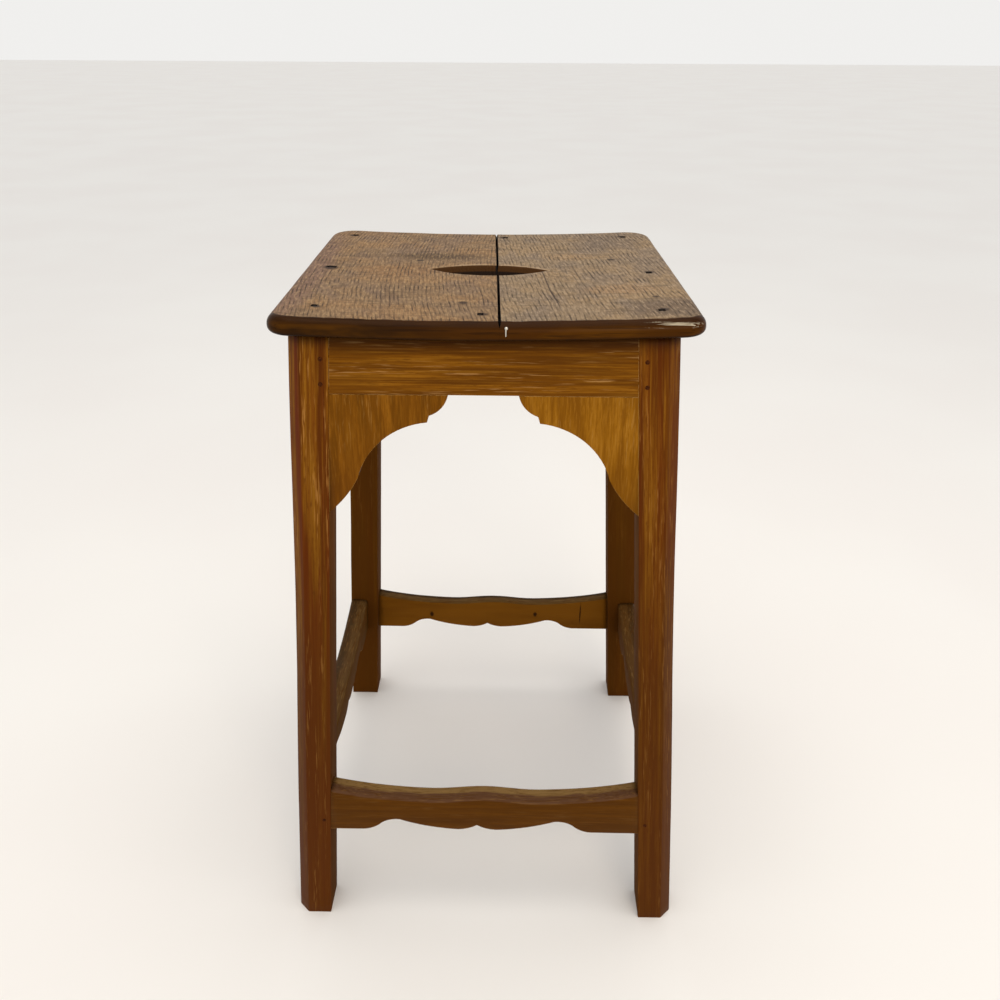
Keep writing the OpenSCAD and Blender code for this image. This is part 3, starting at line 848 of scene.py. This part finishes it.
# How hollow the outer sides are planed, from a height above the floor to one below the seat.
WAIST = 1.6 * MM
WAIST_LOW = 150 * MM
WAIST_HIGH = FRAME_TOP - 40 * MM
# Radius and steps of a leg's arrises: beside the chamfer, on the other corners, round the foot.
CHAMFER_ARRIS = (1.3 * MM, 3)
CORNER_ARRIS = (0.5 * MM, 2)
FOOT_ARRIS = (1.8 * MM, 2)


def leg(node, sx, sy, material, seed):
    """A square leg with a chamfered outer corner. sx and sy are its corner of the stool."""
    bm = cad_face(node, -Z_AXIS)
    axis = Vector((-sx * math.tan(SPLAY), -sy * math.tan(SPLAY), 1))
    made = bmesh.ops.extrude_face_region(bm, geom=bm.faces[:])
    top = [g for g in made["geom"] if isinstance(g, bmesh.types.BMVert)]
    bmesh.ops.translate(bm, verts=top, vec=axis * FRAME_TOP)
    for v in top:
        v.co -= axis * seat_sag(v.co.x)
    bmesh.ops.recalc_face_normals(bm, faces=bm.faces)
    upright = [e for e in bm.edges if abs(e.verts[0].co.z - e.verts[1].co.z) > 0.5 * FRAME_TOP]
    outside = foot_half - CHAMFER - 1 * MM

    def on_chamfer(e):
        foot = min(e.verts, key=lambda v: v.co.z).co
        return abs(foot.x) > outside and abs(foot.y) > outside

    chamfered = [e for e in upright if on_chamfer(e)]
    inner = [e for e in upright if not on_chamfer(e)]
    arris = round_over(bm, chamfered, *CHAMFER_ARRIS)
    round_over(bm, inner, *CORNER_ARRIS)
    foot_edges = [e for e in bm.edges if all(v.co.z < WELD for v in e.verts)]
    arris += round_over(bm, foot_edges, *FOOT_ARRIS)
    mark(bm, "arris", arris)
    mark_inside(bm)
    slice_along(bm, Z_AXIS, 0, FRAME_TOP, 14 * MM)
    for v in bm.verts:
        way = min(1, max(0, (v.co.z - WAIST_LOW) / (WAIST_HIGH - WAIST_LOW)))
        share = math.sin(math.pi * way) ** 2
        outer_x = foot_half - v.co.z * math.tan(SPLAY)
        v.co.x -= sx * WAIST * share * max(0, 1 - (outer_x - abs(v.co.x)) / LEG_THICK)
    wear(bm, *LEG_WEAR, seed)
    low = min(v.co.z for v in bm.verts)
    bmesh.ops.translate(bm, verts=bm.verts, vec=Vector((0, 0, -low)))
    return make_piece(bm, node, material)


# Each leg's corner, and how much of the redder stain it has taken.
LEGS = (
    ("leg_front_left", -1, -1, 0.75),
    ("leg_front_right", 1, -1, 0.35),
    ("leg_back_right", 1, 1, 0.6),
    ("leg_back_left", -1, 1, 0.6),
)
# Tones of varnished oak: dark, middle, light, painted shade low down, and painted shade on the inner
# faces.
LEG_TONES = ("#572a04", "#784607", "#906018", "#482703", "#4a2a05")
for index, (node, sx, sy, red_most) in enumerate(LEGS):
    leg_oak = varnished_oak(
        f"varnished_oak_leg_{index + 1}", LEG_TONES, "Z", (0.31 * index, 0.17 * index, 0.43 * index),
        wax="#b07c3c", wax_most=0.6, turn=(-sy * SPLAY, sx * SPLAY, 0), figure_size=(5 * MM, 330 * MM),
        red_most=red_most, shade=(668 * MM, 692 * MM),
    )
    leg(node, sx, sy, leg_oak, 10 + index)

# ---------------------------------------------------------------- aprons, brackets and stretchers

# Wider roundings than this are not made pale, neither as rubbed wood nor as a painted highlight.
PALE_ARRIS_LIMIT = 2 * MM
# Radius and steps of the arrises: flush joints, a bracket's glued edges and its scroll, and a
# stretcher's trodden top and its scallops.
FLUSH_ARRIS = (0.35 * MM, 2)
GLUED_ARRIS = (0.3 * MM, 2)
SCROLL_ARRIS = (1.0 * MM, 3)
TRODDEN_ARRIS = (4.5 * MM, 4)
SCALLOP_ARRIS = (0.9 * MM, 2)


def board(node, side, thick, material, seed, roundings):
    """A flat board that lies along a side: its outline is the CAD's, its arrises are rounded over.
    roundings picks the arrises and gives each group's radius and steps."""
    normal = side_normal(side)
    run = Z_AXIS.cross(normal).normalized()
    bm = cad_face(node, normal)
    thicken(bm, normal, thick)
    arris = []
    edges = [e for e in bm.edges if e.calc_face_angle(0) > math.radians(30)]
    for chosen, width, steps in roundings(edges, normal, run):
        rounded = round_over(bm, [e for e in chosen if e.is_valid], width, steps)
        arris += rounded if width < PALE_ARRIS_LIMIT else []
    mark(bm, "arris", arris)
    mark_inside(bm)
    reach = [v.co.dot(run) for v in bm.verts]
    slice_along(bm, run, min(reach), max(reach), 9 * MM)
    wear(bm, *BOARD_WEAR, seed)
    outer = max(v.co.dot(normal) for v in bm.verts)
    depth = bm.verts.layers.float.new("depth")
    for v in bm.verts:
        v[depth] = (outer - v.co.dot(normal)) / thick
    return make_piece(bm, node, material)


def lies_along(edge, normal):
    """Whether an edge runs round a board's face rather than through its thickness."""
    line = (edge.verts[1].co - edge.verts[0].co).normalized()
    return abs(line.dot(normal)) < 0.5


def joint_arrises(edges, normal, run):
    """Small arrises where boards meet flush."""
    return (([e for e in edges if lies_along(e, normal)], *FLUSH_ARRIS),)


def bracket_arrises(edges, normal, run):
    """The scrolled edge is eased more than the two that are glued."""
    top = max(v.co.z for e in edges for v in e.verts)
    outer = max(abs(v.co.dot(run)) for e in edges for v in e.verts)
    scroll, glued = [], []
    for e in edges:
        if not lies_along(e, normal):
            continue
        line = (e.verts[1].co - e.verts[0].co).normalized()
        level = all(abs(v.co.z - top) < 1.5 * MM for v in e.verts)
        upright = abs(line.dot(run)) < 0.12 and e.calc_length() > 60 * MM
        (glued if level or upright else scroll).append(e)
    return ((glued, *GLUED_ARRIS), (scroll, *SCROLL_ARRIS))


def stretcher_arrises(edges, normal, run):
    """Feet have rounded a stretcher's top over; its scallops keep small arrises."""
    low = min(v.co.z for e in edges for v in e.verts)
    high = max(v.co.z for e in edges for v in e.verts)
    reach = max(abs(v.co.dot(run)) for e in edges for v in e.verts)
    top, rest = [], []
    for e in edges:
        if not lies_along(e, normal):
            continue
        is_end = all(abs(v.co.dot(run)) > reach - 6 * MM for v in e.verts)
        is_high = min(v.co.z for v in e.verts) > low + 0.6 * (high - low)
        (top if is_high and not is_end else rest).append(e)
    return ((top, *TRODDEN_ARRIS), (rest, *SCALLOP_ARRIS))


# Tones of varnished oak: dark, middle, light, painted shade low down, and painted shade on the inner
# faces.
APRON_TONES = ("#5e3504", "#7b4905", "#946217", "#5a3004", "#3a2004")
# The brackets on the left and on the right of a side, seen from outside: the left ones painted
# darker as shade, the right ones painted lighter as if lit from the right.
BRACKET_SHADED_AND_LIT_TONES = (
    ("#663c04", "#7c4a08", "#8f5c14", "#5a3004", "#3a2004"),
    ("#784906", "#8f5c0c", "#a26e20", "#6a3f04", "#3a2004"),
)
# A stretcher's worn top: a painted sheen towards the outside, and bare wood towards the inside.
WORN_TOPS_AND_SHEEN = {
    "front": ("#5a3d29", "#84663a"),
    "right": ("#3f2a12", "#54391a"),
    "back": ("#33230e", "#5c4424"),
    "left": ("#3f2d17", "#5a4123"),
}
# Tones of a stretcher: dark, middle, light and painted shade low down; the inner faces' tone follows.
STRETCHER_TONES = ("#4e2c04", "#653c06", "#7a4c10", "#4c2a03")
# Tones painted on the stretchers' inner faces for their shade; the back one is lighter, as painted
# light.
STRETCHER_INSIDE = {"front": "#4e3006", "right": "#4e2d06", "back": "#7a4c0f", "left": "#4e3006"}
# Two nails and a short split in the inner face of the back stretcher: middle and size of each.
BACK_INNER_FACE = 185 * MM
STRETCHER_MARKS = {
    "back": (
        ((-91 * MM, BACK_INNER_FACE, 146 * MM), (2.6 * MM, 9 * MM, 4.5 * MM)),
        ((63 * MM, BACK_INNER_FACE, 148 * MM), (2.6 * MM, 9 * MM, 4.0 * MM)),
        ((130 * MM, BACK_INNER_FACE, 150 * MM), (0.9 * MM, 9 * MM, 17 * MM)),
    ),
}

for side, name in enumerate(SIDES):
    along = "XY"[side % 2]
    apron_oak = varnished_oak(
        f"varnished_oak_apron_{name}", APRON_TONES, along, (0.23 * side, 0.37 * side, 0.11 * side),
        wax="#b98d55", wax_most=0.5, shade=(666 * MM, 687 * MM),
    )
    stretcher_oak = varnished_oak(
        f"varnished_oak_stretcher_{name}", (*STRETCHER_TONES, STRETCHER_INSIDE[name]), along,
        (0.41 * side, 0.13 * side, 0.07 * side), wax="#9a7442", wax_most=0.3,
        worn_top_and_sheen=WORN_TOPS_AND_SHEEN[name], marks=STRETCHER_MARKS.get(name, ()),
    )
    board(f"apron_{name}", side, APRON_THICK, apron_oak, 20 + side, joint_arrises)
    board(
        f"stretcher_{name}", side, STRETCHER_THICK[name], stretcher_oak, 30 + side,
        stretcher_arrises,
    )
    for hand, end in enumerate((SIDES[(side + 3) % 4], SIDES[(side + 1) % 4])):
        bracket_oak = varnished_oak(
            f"varnished_oak_bracket_{name}_{end}", BRACKET_SHADED_AND_LIT_TONES[hand], "Z",
            (0.29 * side, 0.19 * side + 0.3 * hand, 0.53 * side), wax="#b98f4e", wax_most=0.2,
            low_shade=(610 * MM, 500 * MM),
        )
        board(
            f"bracket_{name}_{end}", side, BRACKET_THICK, bracket_oak, 40 + side,
            bracket_arrises,
        )

# ---------------------------------------------------------------- fixings that keep their CAD shape

end_grain = oiled_end_grain()
for node, piece in nodes.items():
    if node.startswith("pegs_") or node == "bracket_brads":
        piece.data.materials.clear()
        piece.data.materials.append(end_grain if node.startswith("pegs_") else iron)

# ---------------------------------------------------------------- stage, light and camera

FLOOR_HALF = 30.0
# The camera's place in metres, how far it looks down, its turn to the left and its roll.
CAMERA_PLACE = Vector((26.85, -939.71, 923.22)) * MM
LOOK_DOWN = math.radians(27.427)
LOOK_LEFT = math.radians(0.867)
ROLL = math.radians(0.309)


def studio_floor():
    """Seamless pale paper under and behind the stool."""
    bm = bmesh.new()
    bmesh.ops.create_grid(bm, x_segments=2, y_segments=2, size=FLOOR_HALF)
    mesh = bpy.data.meshes.new("studio_floor")
    bm.to_mesh(mesh)
    bm.free()
    floor = bpy.data.objects.new("studio_floor", mesh)
    bpy.context.scene.collection.objects.link(floor)
    mesh.materials.append(matt_paper())


def softbox(name, place, target, size, watts, colour):
    """A soft lamp that faces a target."""
    data = bpy.data.lights.new(name, "AREA")
    data.shape = "RECTANGLE"
    data.size, data.size_y = size
    data.energy = watts
    data.color = linear(colour)[:3]
    light = bpy.data.objects.new(name, data)
    light.location = place
    light.rotation_euler = (Vector(target) - Vector(place)).to_track_quat("-Z", "Y").to_euler()
    bpy.context.scene.collection.objects.link(light)


def studio_light():
    """Even light all round, a warm lamp overhead and one in front on the right."""
    world = bpy.data.worlds.new("studio")
    world.use_nodes = True
    background = world.node_tree.nodes["Background"]
    background.inputs["Color"].default_value = linear("#f6f5f3")
    background.inputs["Strength"].default_value = 0.95
    bpy.context.scene.world = world
    softbox(
        "ceiling_softbox", place=(0.1, -0.15, 2.4), target=(0, 0, 0.6), size=(1.5, 1.5),
        watts=14, colour="#fff4e6",
    )
    softbox(
        "front_softbox", place=(0.7, -2.2, 1.9), target=(0, 0, 0.45), size=(1.0, 0.8),
        watts=12, colour="#ffedd6",
    )


def viewing_camera():
    """A standing person's view of the stool's front, looking down."""
    data = bpy.data.cameras.new("view")
    data.sensor_width = 36.0
    data.lens = 32.677
    camera = bpy.data.objects.new("view", data)
    camera.matrix_world = (
        Matrix.Translation(CAMERA_PLACE)
        @ Matrix.Rotation(LOOK_LEFT, 4, "Z")
        @ Matrix.Rotation(math.radians(90) - LOOK_DOWN, 4, "X")
        @ Matrix.Rotation(ROLL, 4, "Z")
    )
    bpy.context.scene.collection.objects.link(camera)
    bpy.context.scene.camera = camera


studio_floor()
studio_light()
viewing_camera()
bpy.context.scene.view_settings.view_transform = "Standard"
